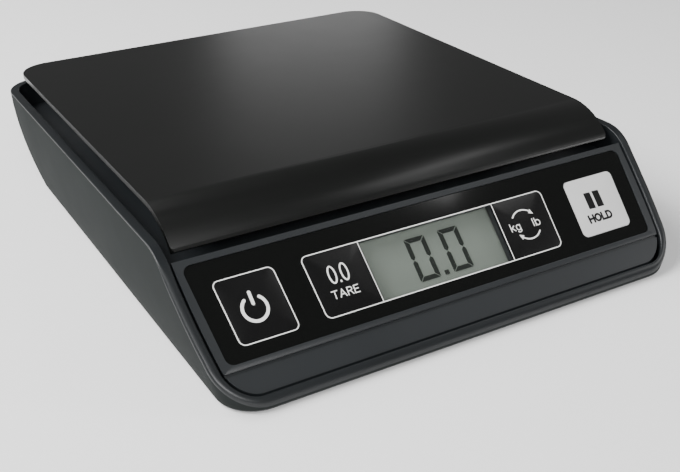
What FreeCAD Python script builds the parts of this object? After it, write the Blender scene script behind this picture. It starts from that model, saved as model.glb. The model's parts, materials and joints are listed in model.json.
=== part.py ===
"""Low-profile platform shipping scale: tray housing, sloped console and floating weighing platform.

Millimetres. The origin is on the supporting surface under the middle of the plan. +X is the
user's right, +Y points to the back, +Z is up. The console faces -Y.
"""
import FreeCAD
import Part
import math
import os

Vector = FreeCAD.Vector
os.makedirs("parts", exist_ok=True)

# ---------------------------------------------------------------- driving dimensions
WIDTH = 203.2                 # rim to rim, 8 inches
DEPTH = 237.6                 # front of the bead to the rear of the rim
FRONT = -DEPTH / 2
REAR = DEPTH / 2
FOOT_PROUD = 1.0              # the feet hold the tray this far off the surface
RIM_TOP = 44.3
PLATFORM_TOP = 51.6

# Tray outline at three heights: (z, half width, rear y, front corner radius, rear corner radius).
TRAY_SECTIONS = (
    (FOOT_PROUD, 95.3, 101.0, 15.0, 12.0),
    (22.0, 99.8, 112.4, 12.0, 14.0),
    (RIM_TOP, WIDTH / 2, REAR, 14.0, 16.0),
)
RIM_WALL = 3.7                # side and rear wall
FRONT_WALL = 2.2              # wall under the front bead
FLOOR_TOP = 3.2               # top of the tray's bottom plate
COVER_GAP = 0.8               # groove between the rim and the console cover
COVER_GAP_FRONT = 1.2
DECK_TOP = 34.0
SHELL = 2.0                   # cover, deck and platform thickness

# Console slope: a plane through (SLOPE_Y, SLOPE_Z), falling towards the front.
SLOPE = math.radians(43.1)
SLOPE_Y = -80.6
SLOPE_Z = 38.1
CREST = 1.3                   # the bead stands this far above the overlay plane
RIM_BEND = 20.0               # radius where the level rim turns down the slope

# Stations down the slope from the overlay's upper edge, and heights over the overlay plane.
BEZEL_BACK = -2.2
BEZEL_RISE = 0.5
BEZEL_ROUND = 0.6
OVERLAY_END = 36.3
OVERLAY_THICK = 0.8
OVERLAY_HALF = 93.8           # at the station KEY_TOP
OVERLAY_CORNER = 3.0
STRIP_START = 39.4
LINE_GROOVE = 1.0
KEY_TOP = 7.8
KEY_END = 31.2
KEY_CORNER = 2.2
KEY_GAP = 0.2
KEY_PROUD = 0.25
TAPER = 0.001                 # the panel and everything on it narrows this much for each mm down
# Left and right edge of each key pad at the station KEY_TOP.
KEYS = {
    "power_key": (-86.5, -64.3),
    "tare_key": (-53.6, -31.0),
    "unit_key": (27.6, 50.7),
    "hold_key": (62.3, 86.4),
}
WINDOW_LEFT = -30.8
WINDOW_RIGHT = 27.4

# Heights of the layers behind the overlay, measured along the slope's normal.
COVER_UNDER = -2.8
GASKET_END = -3.3
FRONT_GLASS_END = -4.3
DIGIT_END = -4.4
REAR_GLASS_END = -5.4
REFLECTOR_END = -5.7
BOARD_TOP = -6.6
BOARD_THICK = 1.6
BOARD_UNDER = BOARD_TOP - BOARD_THICK
DOME_RISE = 0.6

# Weighing platform.
PLATFORM_HALF = 94.9
PLATFORM_REAR = 116.0
PLATFORM_BEND_Y = -53.0       # the flat top ends here and bends down to the front
PLATFORM_BEND = 28.6
PLATFORM_BEND_ANGLE = math.radians(50.5)
PLATFORM_CORNERS = (2.0, 14.0)  # front and rear plan corners
POST_X = 62.0
POST_Y = (-32.0, 76.0)
POST_R = 6.0
POST_TOP = 46.6
CARRIER_Z = 22.7
ARM_THICK = 6.0
CELL_Y = (-18.0, 62.0)
CELL_WIDE = 12.7
CELL_Z = 8.0
CELL_TOP = CELL_Z + CELL_WIDE
CELL_SCREW_PITCH = 12.0
STOP_GAP = 1.0

# Battery bay for three AAA cells lying along Y.
AAA_R = 5.25
AAA_LONG = 44.5
BAY_X = 48.0
BAY_HALF = 18.6
BAY_Y = (-6.0, 50.0)
BAY_TOP = 17.0
BAY_WALL = 1.6
DOOR_THICK = 1.6
DOOR_HINGE_Y = BAY_Y[0] + 4.6
DOOR_HINGE_Z = 4.6

FEET = ((-78.0, -86.0), (78.0, -86.0), (-80.0, 84.0), (80.0, 84.0))
FOOT_R = 7.0
HOUSING_SCREWS = ((-84.0, -48.0), (84.0, -48.0), (-84.0, 62.0), (84.0, 62.0), (0.0, 96.0), (0.0, -72.0))
BOARD_SCREWS = tuple((x, s) for x in (-57.2, 57.2) for s in (7.0, 31.0))


# ---------------------------------------------------------------- helpers
def save(name, shape):
    """Write one node."""
    shape.exportStep("parts/" + name + ".step")


def fuse(shapes):
    """One clean solid from touching or overlapping shapes."""
    whole = shapes[0]
    for shape in shapes[1:]:
        whole = whole.fuse(shape)
    return whole.removeSplitter()


def box(x0, x1, y0, y1, z0, z1):
    return Part.makeBox(x1 - x0, y1 - y0, z1 - z0, Vector(x0, y0, z0))


def post(x, y, z0, z1, radius):
    return Part.makeCylinder(radius, z1 - z0, Vector(x, y, z0))


def rounded_outline(corners, radii, place):
    """Closed wire of straight edges and round corners; place(u, v) gives the 3-D point."""
    edges = []
    starts = []
    count = len(corners)
    for i in range(count):
        u, v = corners[i]
        before = corners[i - 1]
        after = corners[(i + 1) % count]
        to_before = Vector(before[0] - u, before[1] - v, 0).normalize()
        to_after = Vector(after[0] - u, after[1] - v, 0).normalize()
        half_angle = to_before.getAngle(to_after) / 2
        run = radii[i] / math.tan(half_angle)
        middle = (to_before + to_after).normalize()
        apex_run = radii[i] / math.sin(half_angle) - radii[i]
        first = Vector(u, v, 0) + to_before * run
        apex = Vector(u, v, 0) + middle * apex_run
        last = Vector(u, v, 0) + to_after * run
        starts.append([place(p.x, p.y) for p in (first, apex, last)])
    for i in range(count):
        first, apex, last = starts[i]
        edges.append(Part.Arc(first, apex, last).toShape())
        edges.append(Part.LineSegment(last, starts[(i + 1) % count][0]).toShape())
    return Part.Wire(edges)


def plan_outline(half, front, rear, r_front, r_rear, z):
    corners = [(-half, front), (half, front), (half, rear), (-half, rear)]
    radii = [r_front, r_front, r_rear, r_rear]
    return rounded_outline(corners, radii, lambda u, v: Vector(u, v, z))


def housing_body(side_inset, front_inset):
    """Solid inside the tray's curved outer surface, drawn in by the two insets."""
    wires = []
    for z, half, rear, r_front, r_rear in TRAY_SECTIONS:
        wires.append(plan_outline(half - side_inset, FRONT + front_inset, rear - side_inset,
                                  r_front - side_inset, r_rear - side_inset, z))
    return Part.makeLoft(wires, True, False)


def slope_point(x, s, h):
    """Point s down the console slope and h above the overlay plane."""
    y = SLOPE_Y - s * math.cos(SLOPE) - h * math.sin(SLOPE)
    z = SLOPE_Z - s * math.sin(SLOPE) + h * math.cos(SLOPE)
    return Vector(x, y, z)


SLOPE_NORMAL = Vector(0, -math.sin(SLOPE), math.cos(SLOPE))


def slope_prism(corners, radius, h0, h1):
    """Prism on the slope: corners are (x, s), rounded by radius, from height h0 to h1."""
    if radius:
        wire = rounded_outline(corners, [radius] * len(corners), lambda u, v: slope_point(u, v, h0))
    else:
        points = [slope_point(x, s, h0) for x, s in corners]
        wire = Part.makePolygon(points + [points[0]])
    return Part.Face(wire).extrude(SLOPE_NORMAL * (h1 - h0))


def slope_box(x0, x1, s0, s1, h0, h1, radius=0):
    return slope_prism([(x0, s0), (x1, s0), (x1, s1), (x0, s1)], radius, h0, h1)


def tapered_box(x0, x1, s0, s1, h0, h1, radius=0):
    """Prism on the slope whose sides lean in with the panel; x0 and x1 hold at the station KEY_TOP."""
    corners = [(x * (1 - TAPER * (s - KEY_TOP)), s)
               for x, s in ((x0, s0), (x1, s0), (x1, s1), (x0, s1))]
    return slope_prism(corners, radius, h0, h1)


def slope_post(x, s, h0, h1, radius):
    return Part.makeCylinder(radius, h1 - h0, slope_point(x, s, h0), SLOPE_NORMAL)


def side_prism(points, half):
    """Prism across X from a closed outline of (y, z) points."""
    corners = [Vector(-half, y, z) for y, z in points]
    face = Part.Face(Part.makePolygon(corners + [corners[0]]))
    return face.extrude(Vector(2 * half, 0, 0))


def pan_head_screw(place, direction, head_r, head_h, shank_r, shank_long):
    """Screw whose head sits on `place` and whose shank runs along `direction`."""
    head = Part.makeCylinder(head_r, head_h, place - direction * head_h, direction)
    shank = Part.makeCylinder(shank_r, shank_long, place, direction)
    slot_wide = head_r * 0.25
    slot_deep = head_h * 0.45
    slots = []
    for turn in (0, 90):
        slot = Part.makeBox(head_r * 1.3, slot_wide, slot_deep,
                            Vector(-head_r * 0.65, -slot_wide / 2, 0))
        slot.rotate(Vector(0, 0, 0), Vector(0, 0, 1), turn)
        slots.append(slot)
    cross = slots[0].fuse(slots[1])
    cross.Placement = FreeCAD.Placement(place - direction * head_h,
                                        FreeCAD.Rotation(Vector(0, 0, 1), direction))
    return head.fuse(shank).removeSplitter().cut(cross)


def lead(points, radius):
    """Round lead along straight runs joined by tangent arcs."""
    points = [Vector(*p) for p in points]
    edges = []
    here = points[0]
    for i in range(1, len(points) - 1):
        back = points[i - 1] - points[i]
        ahead = points[i + 1] - points[i]
        shorter = min(back.Length, ahead.Length)
        back.normalize()
        ahead.normalize()
        half_angle = back.getAngle(ahead) / 2
        run = 0.45 * shorter
        bend = run * math.tan(half_angle)
        first = points[i] + back * run
        last = points[i] + ahead * run
        apex = points[i] + (back + ahead).normalize() * (bend / math.sin(half_angle) - bend)
        edges.append(Part.LineSegment(here, first).toShape())
        edges.append(Part.Arc(first, apex, last).toShape())
        here = last
    edges.append(Part.LineSegment(here, points[-1]).toShape())
    path = Part.Wire(edges)
    start = (points[1] - points[0]).normalize()
    circle = Part.Wire(Part.makeCircle(radius, points[0], start))
    return path.makePipeShell([circle], True, False)


def rim_crest(clear):
    """Space above the rim: level at the back, round bend, then down the slope at the crest height."""
    top = slope_point(0, 0, CREST)
    fall = math.tan(SLOPE)
    corner_y = top.y + (RIM_TOP - top.z) / fall
    run = RIM_BEND * math.tan(SLOPE / 2)
    level = Vector(-clear, corner_y + run, RIM_TOP)
    middle_angle = SLOPE / 2
    middle = Vector(-clear, level.y - RIM_BEND * math.sin(middle_angle),
                    RIM_TOP - RIM_BEND * (1 - math.cos(middle_angle)))
    sloped = Vector(-clear, level.y - RIM_BEND * math.sin(SLOPE),
                    RIM_TOP - RIM_BEND * (1 - math.cos(SLOPE)))
    low_y = FRONT - 10
    low = Vector(-clear, low_y, top.z + (low_y - top.y) * fall)
    high = PLATFORM_TOP + 20
    back_y = REAR + 10
    edges = [
        Part.LineSegment(Vector(-clear, back_y, RIM_TOP), level).toShape(),
        Part.Arc(level, middle, sloped).toShape(),
        Part.LineSegment(sloped, low).toShape(),
        Part.LineSegment(low, Vector(-clear, low_y, high)).toShape(),
        Part.LineSegment(Vector(-clear, low_y, high), Vector(-clear, back_y, high)).toShape(),
        Part.LineSegment(Vector(-clear, back_y, high), Vector(-clear, back_y, RIM_TOP)).toShape(),
    ]
    return Part.Face(Part.Wire(edges)).extrude(Vector(2 * clear, 0, 0))


# ---------------------------------------------------------------- tray
SCREW_HEAD_Z = 9.0            # housing screws seat this high inside their posts
SCREW_POST_TOP = 12.0
STOP_POST_TOP = 17.0
CELL_BOSS_TOP = 6.5
CELL_MIDDLE = (CELL_Y[0] + CELL_Y[1]) / 2
CELL_BASE_Y = (CELL_Y[0] + 4.5, CELL_Y[0] + 4.5 + CELL_SCREW_PITCH)
CELL_TOP_Y = (CELL_Y[1] - 4.5 - CELL_SCREW_PITCH, CELL_Y[1] - 4.5)
STOPS = tuple((x, y) for x in (-POST_X, POST_X) for y in POST_Y)


def housing_tray():
    outer = housing_body(0, 0)
    above_floor = box(-WIDTH, WIDTH, -DEPTH, DEPTH, FLOOR_TOP, RIM_TOP + 1)
    cavity = housing_body(RIM_WALL, FRONT_WALL).common(above_floor)
    tray = outer.cut(cavity).cut(rim_crest(WIDTH))
    inside = housing_body(RIM_WALL / 2, FRONT_WALL / 2)
    additions = [box(-13, 13, CELL_Y[0] - 2, CELL_Y[0] + 24, FLOOR_TOP - 1, CELL_BOSS_TOP)]
    for x, y in HOUSING_SCREWS:
        additions.append(post(x, y, FLOOR_TOP - 1, SCREW_POST_TOP, 4.5))
    for x, y in STOPS:
        additions.append(post(x, y, FLOOR_TOP - 1, STOP_POST_TOP, 4.0))
    bay_outer = box(BAY_X - BAY_HALF - BAY_WALL, BAY_X + BAY_HALF + BAY_WALL,
                    BAY_Y[0] - BAY_WALL, BAY_Y[1] + BAY_WALL, FLOOR_TOP - 1, BAY_TOP + BAY_WALL)
    additions.append(bay_outer)
    tray = fuse([tray] + [piece.common(inside) for piece in additions])
    cuts = [box(BAY_X - BAY_HALF, BAY_X + BAY_HALF, BAY_Y[0], BAY_Y[1], 0, BAY_TOP)]
    for x, y in HOUSING_SCREWS:
        cuts.append(post(x, y, 0, SCREW_HEAD_Z, 3.2))
        cuts.append(post(x, y, 0, SCREW_POST_TOP + 1, 1.7))
    for x, y in STOPS:
        cuts.append(post(x, y, FLOOR_TOP + 2, STOP_POST_TOP + 1, 1.55))
    for y in CELL_BASE_Y:
        cuts.append(post(0, y, 0, 4.4, 3.9))
        cuts.append(post(0, y, 0, CELL_BOSS_TOP + 1, 2.2))
    for x, y in FEET:
        cuts.append(post(x, y, 0, 2.2, FOOT_R + 0.1))
    for cut in cuts:
        tray = tray.cut(cut)
    return tray.removeSplitter()


# ---------------------------------------------------------------- console cover
def console_cover():
    """Sloped console, front strip and the deck behind it, as one moulded shell."""
    outline = housing_body(RIM_WALL + COVER_GAP, FRONT_WALL + COVER_GAP_FRONT)
    inner = housing_body(RIM_WALL + COVER_GAP + SHELL, FRONT_WALL + COVER_GAP_FRONT + SHELL)

    bottom = FLOOR_TOP + 0.4

    def profile(deck, bezel, strip):
        """(y, z) outline: deck height, then heights over the overlay plane of bezel and strip."""
        bezel_back = slope_point(0, BEZEL_BACK, bezel)
        bezel_end = slope_point(0, STRIP_START, bezel)
        strip_top = slope_point(0, STRIP_START, strip)
        strip_run = (SLOPE_Z + strip * math.cos(SLOPE) - bottom) / math.sin(SLOPE)
        strip_low = slope_point(0, strip_run, strip)
        return [
            (REAR, deck),
            (bezel_back.y + BEZEL_ROUND, deck),
            (bezel_back.y + BEZEL_ROUND, bezel_back.z - BEZEL_ROUND),
            (bezel_back.y, bezel_back.z),
            (bezel_end.y, bezel_end.z),
            (strip_top.y, strip_top.z),
            (strip_low.y, bottom),
            (REAR, bottom),
        ]

    cover = outline.common(side_prism(profile(DECK_TOP, BEZEL_RISE, 0), WIDTH))
    hollow = inner.common(side_prism(profile(DECK_TOP - SHELL, COVER_UNDER, -SHELL), WIDTH))
    skirt_end = slope_point(0, OVERLAY_END / 2, 0).y
    open_under = box(-WIDTH, WIDTH, skirt_end, REAR, 0, SCREW_POST_TOP + 0.2)
    cover = cover.cut(hollow).cut(open_under)
    # Overlay seat, with the line groove between the bezel and the strip.
    seat = tapered_box(-OVERLAY_HALF, OVERLAY_HALF, 0, OVERLAY_END,
                       -OVERLAY_THICK, BEZEL_RISE + 1, OVERLAY_CORNER)
    cuts = [seat, slope_box(-WIDTH, WIDTH, STRIP_START - LINE_GROOVE, STRIP_START, -0.5, 2)]
    for left, right in KEYS.values():
        cuts.append(tapered_box(left - KEY_GAP, right + KEY_GAP, KEY_TOP - 1.4, KEY_END + 1.4,
                                COVER_UNDER - 1, 0))
    cuts.append(tapered_box(WINDOW_LEFT + 0.8, WINDOW_RIGHT - 0.8, KEY_TOP, KEY_END,
                            COVER_UNDER - 1, 0))
    for x in (-POST_X, POST_X):
        for y in POST_Y:
            cuts.append(post(x, y, DECK_TOP - 2 * SHELL, DECK_TOP + 1, POST_R + 3))
    for cut in cuts:
        cover = cover.cut(cut)
    bosses = [slope_post(x, s, BOARD_TOP, COVER_UNDER + 0.5, 2.3) for x, s in BOARD_SCREWS]
    for x, y in HOUSING_SCREWS:
        bosses.append(post(x, y, SCREW_POST_TOP, DECK_TOP - 1, 4.2))
    cover = fuse([cover] + bosses)
    for x, s in BOARD_SCREWS:
        cover = cover.cut(slope_post(x, s, BOARD_TOP - 1, COVER_UNDER, 1.05))
    for x, y in HOUSING_SCREWS:
        cover = cover.cut(post(x, y, SCREW_POST_TOP - 1, SCREW_POST_TOP + 12, 1.55))
    return cover


def overlay_panel():
    """Glossy panel in the bezel, open for the four keys and the display window."""
    fit = 0.1
    panel = tapered_box(-OVERLAY_HALF + fit, OVERLAY_HALF - fit, fit, OVERLAY_END - fit,
                        -OVERLAY_THICK, 0, OVERLAY_CORNER)
    for left, right in KEYS.values():
        panel = panel.cut(tapered_box(left - KEY_GAP, right + KEY_GAP, KEY_TOP - KEY_GAP,
                                      KEY_END + KEY_GAP, -2, 1, KEY_CORNER + KEY_GAP))
    return panel.cut(tapered_box(WINDOW_LEFT, WINDOW_RIGHT, KEY_TOP, KEY_END, -2, 1))


def key_middle(left, right):
    """(x, s) of the middle of a key pad."""
    middle_s = (KEY_TOP + KEY_END) / 2
    return (left + right) / 2 * (1 - TAPER * (middle_s - KEY_TOP)), middle_s


def key(left, right):
    """Key pad with a retaining flange behind the overlay and a plunger over its dome."""
    middle_x, middle_s = key_middle(left, right)
    flange_top = -OVERLAY_THICK - 0.15
    pad = tapered_box(left, right, KEY_TOP, KEY_END, flange_top, KEY_PROUD, KEY_CORNER)
    flange = tapered_box(left, right, KEY_TOP - 1.1, KEY_END + 1.1, flange_top - 1.2, flange_top)
    plunger = slope_post(middle_x, middle_s, BOARD_TOP + DOME_RISE, flange_top, 2.0)
    return fuse([pad, flange, plunger])


def key_dome(left, right):
    """Snap dome under a key's plunger."""
    base_r = 4.0
    middle_x, middle_s = key_middle(left, right)
    return Part.makeCone(base_r, base_r * 0.45, DOME_RISE,
                         slope_point(middle_x, middle_s, BOARD_TOP), SLOPE_NORMAL)


# ---------------------------------------------------------------- display
LCD_LEFT = -33.8
LCD_RIGHT = 30.4
LCD_TOP = 4.4
LCD_END = 34.6


def lcd_layer(h0, h1, edge=0.0):
    return slope_box(LCD_LEFT + edge, LCD_RIGHT - edge, LCD_TOP + edge, LCD_END - edge, h0, h1)


def frame_layer(h0, h1, grow, rim):
    """Rectangular ring round the display glass."""
    outer = slope_box(LCD_LEFT - grow, LCD_RIGHT + grow, LCD_TOP - grow, LCD_END + grow, h0, h1)
    hole = grow - rim
    inner = slope_box(LCD_LEFT - hole, LCD_RIGHT + hole, LCD_TOP - hole, LCD_END + hole,
                      h0 - 1, h1 + 1)
    return outer.cut(inner)


DIGIT_WIDE = 7.6
DIGIT_HIGH = 15.7
DIGIT_STROKE = 1.25
DIGIT_LEFTS = (-10.2, 4.2)
DIGIT_TOP = 11.4
POINT_X = 0.6
POINT_SIZE = 1.4


def segment_bar(u0, v0, u1, v1, left):
    """Mitred bar from (u0, v0) to (u1, v1) in a digit's own box; v runs down the slope."""
    long = math.hypot(u1 - u0, v1 - v0)
    du = (u1 - u0) / long
    dv = (v1 - v0) / long
    half = DIGIT_STROKE / 2
    ends = ((0.25, 0), (0.25 + half, half), (long - 0.25 - half, half),
            (long - 0.25, 0), (long - 0.25 - half, -half), (0.25 + half, -half))
    corners = []
    for along, across in ends:
        u = u0 + du * along - dv * across
        v = v0 + dv * along + du * across
        corners.append((left + u, DIGIT_TOP + v))
    return slope_prism(corners, 0, DIGIT_END, FRONT_GLASS_END)


def lcd_digits():
    """Two seven-segment zeros and a decimal point, as the energised liquid crystal."""
    bars = []
    low = DIGIT_STROKE / 2
    wide = DIGIT_WIDE - low
    high = DIGIT_HIGH - low
    middle = DIGIT_HIGH / 2
    for left in DIGIT_LEFTS:
        bars.append(segment_bar(low, low, wide, low, left))
        bars.append(segment_bar(low, high, wide, high, left))
        for u in (low, wide):
            bars.append(segment_bar(u, low, u, middle, left))
            bars.append(segment_bar(u, middle, u, high, left))
    point_end = DIGIT_TOP + DIGIT_HIGH - 0.1
    bars.append(slope_box(POINT_X - POINT_SIZE / 2, POINT_X + POINT_SIZE / 2, point_end - POINT_SIZE,
                          point_end, DIGIT_END, FRONT_GLASS_END))
    return Part.makeCompound(bars)


def zebra_strips():
    strips = [slope_box(LCD_LEFT + 2, LCD_RIGHT - 2, s, s + 1.8, BOARD_TOP, REFLECTOR_END)
              for s in (LCD_TOP + 0.4, LCD_END - 2.2)]
    return Part.makeCompound(strips)


# ---------------------------------------------------------------- electronics
BOARD_HALF = 84.0
BOARD_S = (3.4, 35.6)


def main_board():
    board = slope_box(-BOARD_HALF, BOARD_HALF, BOARD_S[0], BOARD_S[1], BOARD_UNDER, BOARD_TOP)
    for x, s in BOARD_SCREWS:
        board = board.cut(slope_post(x, s, BOARD_UNDER - 1, BOARD_TOP + 1, 1.2))
    return board


def under_board(x0, x1, s0, s1, high):
    return slope_box(x0, x1, s0, s1, BOARD_UNDER - high, BOARD_UNDER)


def capacitors():
    cans = [slope_post(x, 14, BOARD_UNDER - 5.5, BOARD_UNDER, 2.5) for x in (-44, -37)]
    chips = [under_board(x, x + 3.2, 24, 25.6, 1.0) for x in (-46, -40, -20, -14, 14, 20)]
    return Part.makeCompound(cans + chips)


def board_socket(middle_x, s0):
    """Pin header housing whose mouth faces up the slope."""
    body = under_board(middle_x - 5, middle_x + 5, s0, s0 + 7, 4.6)
    mouth = slope_box(middle_x - 4, middle_x + 4, s0 - 1, s0 + 5, BOARD_UNDER - 3.9, BOARD_UNDER - 0.7)
    return body.cut(mouth)


CELL_PLUG = (14.0, 16.0)
BATTERY_PLUG = (36.0, 16.0)


def lead_plug(middle_x, s0):
    return slope_box(middle_x - 3.8, middle_x + 3.8, s0 - 2.5, s0 + 4.9,
                     BOARD_UNDER - 3.8, BOARD_UNDER - 0.8)


def load_cell_lead():
    """Four-core lead from the fixed end of the load cell to its plug on the main board."""
    end = slope_point(CELL_PLUG[0], CELL_PLUG[1] - 2.5, BOARD_UNDER - 2.3)
    return lead([(CELL_WIDE / 2, -6, 13), (12, -6, 13), (14, -16, 9), (14, -32, 6), (14, -48, 6),
                 (14, -66, 11), (end.x, end.y + 7, end.z + 6.5), (end.x, end.y, end.z)], 1.2)


def battery_leads():
    """Two leads from the bay's end wall to their plug on the main board."""
    leads = []
    for side in (-1, 1):
        end = slope_point(BATTERY_PLUG[0] + side * 1.6, BATTERY_PLUG[1] - 2.5, BOARD_UNDER - 2.3)
        start_x = BAY_X + side * 6
        leads.append(lead([(start_x, BAY_Y[0] - BAY_WALL, 13), (start_x, -18, 13),
                           (end.x + side * 2, -36, 8), (end.x + side, -52, 8), (end.x, -66, 12),
                           (end.x, end.y + 7, end.z + 6.5), (end.x, end.y, end.z)], 0.8))
    return Part.makeCompound(leads)


# ---------------------------------------------------------------- load cell and platform
def load_cell():
    """Bending-beam bar with a pair of joined bores across it."""
    half = CELL_WIDE / 2
    bar = box(-half, half, CELL_Y[0], CELL_Y[1], CELL_Z, CELL_TOP)
    mid_z = CELL_Z + half
    across = Vector(1, 0, 0)
    for y in (CELL_MIDDLE - 8, CELL_MIDDLE + 8):
        bar = bar.cut(Part.makeCylinder(5.2, CELL_WIDE + 2, Vector(-half - 1, y, mid_z), across))
    bar = bar.cut(box(-half - 1, half + 1, CELL_MIDDLE - 8, CELL_MIDDLE + 8, mid_z - 2, mid_z + 2))
    for y in CELL_BASE_Y + CELL_TOP_Y:
        bar = bar.cut(post(0, y, CELL_Z - 1, CELL_TOP + 1, 2.05))
    return bar


def gauge_covers():
    """Silicone over the strain gauges, above and below the thin webs."""
    covers = [box(-4.5, 4.5, CELL_MIDDLE - 13, CELL_MIDDLE + 13, z, z + 0.8)
              for z in (CELL_TOP, CELL_Z - 0.8)]
    return Part.makeCompound(covers)


def spacer(screw_ys, z0, z1):
    plate = box(-CELL_WIDE / 2, CELL_WIDE / 2, screw_ys[0] - 4.5, screw_ys[1] + 4.5, z0, z1)
    for y in screw_ys:
        plate = plate.cut(post(0, y, z0 - 1, z1 + 1, 2.2))
    return plate


HUB = (36.0, 70.0)


def platform_carrier():
    """Spider on the free end of the load cell, with a post under each corner of the platform."""
    hub = box(-16, 16, HUB[0], HUB[1], CARRIER_Z, CARRIER_Z + 4)
    pieces = [hub]
    for x, y in STOPS:
        inner_y = HUB[0] + 5 if y < HUB[0] else HUB[1] - 5
        inner_x = math.copysign(11, x)
        run = Vector(x - inner_x, y - inner_y, 0)
        arm = box(0, run.Length, -5, 5, 0, ARM_THICK)
        turn = math.degrees(math.atan2(run.y, run.x))
        arm.Placement = FreeCAD.Placement(Vector(inner_x, inner_y, CARRIER_Z),
                                          FreeCAD.Rotation(Vector(0, 0, 1), turn))
        pieces.append(arm)
        pieces.append(post(x, y, CARRIER_Z, POST_TOP, POST_R))
        pieces.append(post(x, y, POST_TOP, POST_TOP + 2, 3.0))
    carrier = fuse(pieces)
    for y in CELL_TOP_Y:
        carrier = carrier.cut(post(0, y, CARRIER_Z - 1, CARRIER_Z + 5, 2.2))
    return carrier


PLATFORM_UNDER = PLATFORM_TOP - SHELL


def platform_cushions():
    caps = []
    for x, y in STOPS:
        cap = post(x, y, POST_TOP - 2, PLATFORM_UNDER, POST_R + 1)
        cap = cap.cut(post(x, y, POST_TOP - 3, POST_TOP, POST_R))
        caps.append(cap.cut(post(x, y, POST_TOP, POST_TOP + 2, 3.0)))
    return Part.makeCompound(caps)


def platform():
    """Plate with round corners, bent down at the front, with a ring over each cushion."""
    arc_y = PLATFORM_BEND_Y
    arc_z = PLATFORM_TOP - PLATFORM_BEND

    def on_arc(radius, angle):
        return Vector(-PLATFORM_HALF, arc_y - radius * math.sin(angle), arc_z + radius * math.cos(angle))

    inner = PLATFORM_BEND - SHELL
    back = Vector(-PLATFORM_HALF, PLATFORM_REAR, PLATFORM_TOP)
    back_under = Vector(-PLATFORM_HALF, PLATFORM_REAR, PLATFORM_UNDER)
    edges = [
        Part.LineSegment(back, on_arc(PLATFORM_BEND, 0)).toShape(),
        Part.Arc(on_arc(PLATFORM_BEND, 0), on_arc(PLATFORM_BEND, PLATFORM_BEND_ANGLE / 2),
                 on_arc(PLATFORM_BEND, PLATFORM_BEND_ANGLE)).toShape(),
        Part.LineSegment(on_arc(PLATFORM_BEND, PLATFORM_BEND_ANGLE),
                         on_arc(inner, PLATFORM_BEND_ANGLE)).toShape(),
        Part.Arc(on_arc(inner, PLATFORM_BEND_ANGLE), on_arc(inner, PLATFORM_BEND_ANGLE / 2),
                 on_arc(inner, 0)).toShape(),
        Part.LineSegment(on_arc(inner, 0), back_under).toShape(),
        Part.LineSegment(back_under, back).toShape(),
    ]
    plate = Part.Face(Part.Wire(edges)).extrude(Vector(2 * PLATFORM_HALF, 0, 0))
    front = on_arc(PLATFORM_BEND, PLATFORM_BEND_ANGLE).y
    plan = Part.Face(plan_outline(PLATFORM_HALF, front, PLATFORM_REAR, *PLATFORM_CORNERS, 0))
    plate = plate.common(plan.extrude(Vector(0, 0, PLATFORM_TOP + 1)))
    rings = []
    for x, y in STOPS:
        ring = post(x, y, PLATFORM_UNDER - 3, PLATFORM_UNDER + 0.5, POST_R + 2.8)
        rings.append(ring.cut(post(x, y, PLATFORM_UNDER - 4, PLATFORM_UNDER, POST_R + 1.0)))
    ribs = [box(x - 0.8, x + 0.8, POST_Y[0] + 12, POST_Y[1] - 12, PLATFORM_UNDER - 3, PLATFORM_UNDER + 0.5)
            for x in (-POST_X, 0, POST_X)]
    return fuse([plate] + rings + ribs)


def overload_stops():
    """Set screws under the four posts that catch the carrier when the scale is overloaded."""
    top = CARRIER_Z - STOP_GAP
    screws = []
    for x, y in STOPS:
        screw = post(x, y, FLOOR_TOP + 3, top - 2.2, 1.5).fuse(post(x, y, top - 2.2, top, 3.2))
        screws.append(screw.removeSplitter())
    return Part.makeCompound(screws)


# ---------------------------------------------------------------- battery bay
def battery(index):
    """AAA cell; neighbours lie head to tail."""
    x = BAY_X + (index - 1) * (2 * AAA_R + 1.2)
    z = BAY_TOP - AAA_R - 0.9
    head = 1 if index % 2 == 0 else -1
    middle_y = (BAY_Y[0] + BAY_Y[1]) / 2
    along = Vector(0, head, 0)
    spring_room = 3.5
    can_long = AAA_LONG - 1.0
    tail = middle_y - head * (AAA_LONG / 2 - spring_room / 2 + 0.6)
    can = Part.makeCylinder(AAA_R, can_long, Vector(x, tail, z), along)
    nub = Part.makeCylinder(1.9, 1.0, Vector(x, tail + head * can_long, z), along)
    return can.fuse(nub)


def bay_contacts():
    """Plates on both end walls of the bay."""
    plates = []
    z = BAY_TOP - AAA_R - 0.9
    for index in range(3):
        x = BAY_X + (index - 1) * (2 * AAA_R + 1.2)
        for y in (BAY_Y[0], BAY_Y[1] - 0.4):
            plates.append(box(x - 4.4, x + 4.4, y, y + 0.4, z - 4.6, z + 4.6))
    return Part.makeCompound(plates)


def bay_springs():
    """Outer form of the coil spring at each cell's tail."""
    cones = []
    z = BAY_TOP - AAA_R - 0.9
    for index in range(3):
        x = BAY_X + (index - 1) * (2 * AAA_R + 1.2)
        head = 1 if index % 2 == 0 else -1
        wall = BAY_Y[0] + 0.4 if head > 0 else BAY_Y[1] - 0.4
        cell = battery(index).BoundBox
        reach = cell.YMin - wall if head > 0 else wall - cell.YMax
        cones.append(Part.makeCone(3.6, 2.2, reach, Vector(x, wall, z), Vector(0, head, 0)))
    return Part.makeCompound(cones)


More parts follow.
